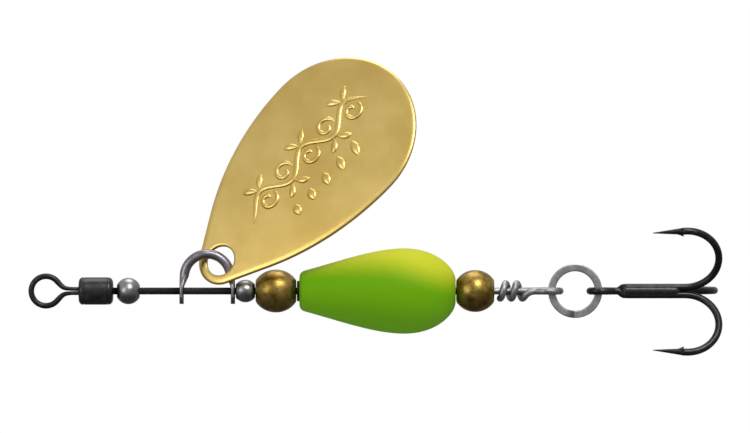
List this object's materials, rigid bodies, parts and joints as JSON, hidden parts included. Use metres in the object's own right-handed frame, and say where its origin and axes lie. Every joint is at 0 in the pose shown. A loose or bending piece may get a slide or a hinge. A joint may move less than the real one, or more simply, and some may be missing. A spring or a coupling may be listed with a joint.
{
  "type": "inline spinner",
  "caption": "Inline spinner fishing lure: barrel swivel, wire shaft with clevis and teardrop blade, beads, weighted teardrop body, split ring and treble hook.",
  "frame": {"origin": "centre of the line eye's hole", "axes": "+X along the shaft from the line eye to the hook, +Z the side the blade stands on, +Y the third hook's side"},
  "size_m": [0.0693, 0.0119, 0.0299],
  "materials": {
    "black_wire": "black nickel, satin",
    "black_barrel": "black nickel on brass, satin",
    "shaft_wire": "drawn stainless wire, black in front of the clevis and bare at the tail",
    "steel_bead": "satin nickel",
    "clevis_steel": "satin nickel",
    "gold_plate": "gold plated, satin, stamped ornament on the outer face",
    "aged_brass": "tumbled and darkened with age",
    "green_yellow_paint": "matte fluorescent paint on a cast zinc body, yellow on top fading to green below",
    "black_tube": "plain",
    "ring_steel": "tumbled stainless flat wire",
    "black_hook": "black nickel, satin",
    "braze": "brazing metal under the hook's black nickel"
  },
  "bodies": {
    "line_eye": {"line_eye": "black_wire"},
    "swivel_barrel": {"swivel_barrel": "black_barrel"},
    "shaft": {"shaft": "shaft_wire"},
    "front_bead": {"front_bead": "steel_bead"},
    "clevis": {"clevis": "clevis_steel"},
    "blade": {"blade": "gold_plate"},
    "bearing_bead": {"bearing_bead": "steel_bead"},
    "front_brass_bead": {"front_brass_bead": "aged_brass"},
    "body": {"body": "green_yellow_paint", "body_liner": "black_tube"},
    "rear_brass_bead": {"rear_brass_bead": "aged_brass"},
    "split_ring": {"split_ring": "ring_steel"},
    "treble_hook": {"double_hook": "black_hook", "single_hook": "black_hook", "hook_braze": "braze"}
  },
  "joints": [
    {"name": "barrel_spin", "type": "hinge", "parent": "line_eye", "child": "swivel_barrel", "pos_m": [0.005, 0, 0], "axis": [1, 0, 0], "continuous": true},
    {"name": "shaft_spin", "type": "hinge", "parent": "swivel_barrel", "child": "shaft", "pos_m": [0.0062, 0, 0], "axis": [1, 0, 0], "continuous": true},
    {"name": "front_bead_slide", "type": "slide", "parent": "shaft", "child": "front_bead", "axis": [1, 0, 0], "range_m": [-0.00036, 0.0038]},
    {"name": "clevis_spin", "type": "hinge", "parent": "shaft", "child": "clevis", "pos_m": [0.01383, 0, 0], "axis": [1, 0, 0], "continuous": true},
    {"name": "blade_swing", "type": "hinge", "parent": "clevis", "child": "blade", "pos_m": [0.01613, 0, 0.00139], "axis": [0, 1, 0], "range_deg": [-80, 15]},
    {"name": "bearing_bead_spin", "type": "hinge", "parent": "shaft", "child": "bearing_bead", "pos_m": [0.01994, 0, 0], "axis": [1, 0, 0], "continuous": true},
    {"name": "front_brass_bead_spin", "type": "hinge", "parent": "shaft", "child": "front_brass_bead", "pos_m": [0.023, 0, 0], "axis": [1, 0, 0], "continuous": true},
    {"name": "body_spin", "type": "hinge", "parent": "shaft", "child": "body", "pos_m": [0.03315, 0, 0], "axis": [1, 0, 0], "continuous": true},
    {"name": "rear_brass_bead_spin", "type": "hinge", "parent": "shaft", "child": "rear_brass_bead", "pos_m": [0.04292, 0, 0], "axis": [1, 0, 0], "continuous": true},
    {"name": "ring_swing", "type": "hinge", "parent": "shaft", "child": "split_ring", "pos_m": [0.05021, 0, 0], "axis": [0, 0, 1], "range_deg": [-70, 70]},
    {"name": "hook_swing", "type": "hinge", "parent": "split_ring", "child": "treble_hook", "pos_m": [0.05292, 0, 0], "axis": [0, 1, 0], "range_deg": [-75, 75]}
  ]
}
